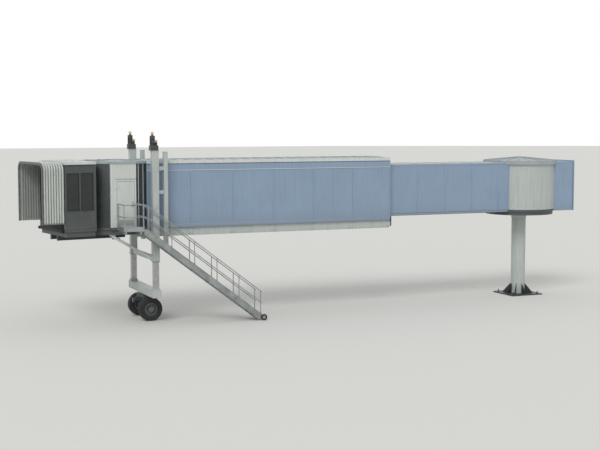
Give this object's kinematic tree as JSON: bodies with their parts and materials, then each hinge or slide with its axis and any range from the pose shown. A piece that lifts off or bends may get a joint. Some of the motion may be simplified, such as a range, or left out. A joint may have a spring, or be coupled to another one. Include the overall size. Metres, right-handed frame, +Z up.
{
  "type": "jet bridge",
  "caption": "Two-tunnel apron drive boarding bridge with a pedestal rotunda, lift columns on a steerable wheel bogie, turning cab, folding canopy and service stair.",
  "frame": {"origin": "middle of the underside of the pedestal's base plate, on the ground at the terminal end", "axes": "+Z up, +X along the tunnels towards the terminal building, the aircraft end towards -X, the service stair on the -Y side"},
  "size_m": [29.2427, 5.1003, 8.83],
  "materials": {
    "light_steel": "light grey enamel on steel",
    "light_panel": "off-white enamel on sheet steel",
    "light_trim": "pale grey enamel on pressed steel",
    "tunnel_blue": "light steel blue enamel on sheet steel",
    "roof_sheet": "grey coated roof sheet",
    "floor_plate": "dark grey primer on floor plate",
    "dark_steel": "near black enamel on steel",
    "machine_grey": "dark grey enamel on cast housings",
    "bare_steel": "ground and greased steel tube",
    "galvanised": "hot-dip galvanised steel",
    "slat_grey": "dark grey coated aluminium slats",
    "cab_grey": "dark grey enamel on sheet steel",
    "dark_glass": "dark tinted glass",
    "amber_lens": "moulded amber lens",
    "rubber": "black moulded rubber",
    "tyre": "black tyre rubber",
    "canopy_cloth": "grey-green coated cloth",
    "canopy_pad": "dark coated foam pad on a steel hoop"
  },
  "bodies": {
    "terminal": {"pedestal_base": "dark_steel", "pedestal_column": "light_steel", "terminal_rotunda_floor": "floor_plate", "terminal_rotunda_near_wall": "light_steel", "terminal_rotunda_far_wall": "light_steel", "terminal_rotunda_roof": "roof_sheet", "terminal_portal": "tunnel_blue", "inner_tunnel_floor": "floor_plate", "inner_tunnel_near_wall": "tunnel_blue", "inner_tunnel_far_wall": "tunnel_blue", "inner_tunnel_roof": "roof_sheet"},
    "outer_tunnel": {"outer_tunnel_floor": "floor_plate", "outer_tunnel_near_wall": "tunnel_blue", "outer_tunnel_far_wall": "tunnel_blue", "outer_tunnel_roof": "roof_sheet", "roof_edge_trims": "light_trim", "underframe": "light_steel", "tunnel_end_frame": "rubber", "tunnel_rollers": "dark_steel", "cab_rotunda_floor": "floor_plate", "cab_rotunda_roof": "roof_sheet", "door_wall": "light_panel", "service_door": "light_panel", "slat_panels": "slat_grey", "near_curtain": "slat_grey", "far_curtain": "slat_grey", "lift_outer_columns": "light_steel", "lift_inner_columns": "bare_steel", "lift_masts": "light_steel", "lift_motors": "machine_grey", "column_lamps": "amber_lens", "column_tie_beam": "light_steel", "rotunda_brace": "light_steel", "carriage_crossbeam": "light_steel", "landing": "galvanised", "stair_stringers": "galvanised", "stair_treads": "galvanised", "stair_rails": "galvanised", "stair_rollers": "rubber"},
    "cab": {"cab_floor": "floor_plate", "cab_turn_frame": "dark_steel", "cab_walls": "cab_grey", "cab_windows": "dark_glass", "cab_roof": "light_trim", "cab_bumper": "rubber", "canopy_bellows": "canopy_cloth", "canopy_hoop": "canopy_pad"},
    "bogie": {"bogie_frame": "dark_steel", "drive_motors": "machine_grey"},
    "near_wheel": {"near_tyre": "tyre", "near_hub": "dark_steel"},
    "far_wheel": {"far_tyre": "tyre", "far_hub": "dark_steel"}
  },
  "joints": [
    {"name": "tunnel_slide", "type": "slide", "parent": "terminal", "child": "outer_tunnel", "axis": [-1, 0, 0], "range_m": [-6, 3]},
    {"name": "cab_turn", "type": "hinge", "parent": "outer_tunnel", "child": "cab", "pos_m": [-22.3, 0, 4], "axis": [0, 0, 1], "range_deg": [-85, 23.5]},
    {"name": "bogie_steer", "type": "hinge", "parent": "outer_tunnel", "child": "bogie", "pos_m": [-20.94, 0, 1.22], "axis": [0, 0, 1], "range_deg": [-90, 90]},
    {"name": "near_wheel_spin", "type": "hinge", "parent": "bogie", "child": "near_wheel", "pos_m": [-20.94, -0.9, 0.55], "axis": [0, 1, 0], "continuous": true},
    {"name": "far_wheel_spin", "type": "hinge", "parent": "bogie", "child": "far_wheel", "pos_m": [-20.94, 0.9, 0.55], "axis": [0, 1, 0], "continuous": true}
  ]
}
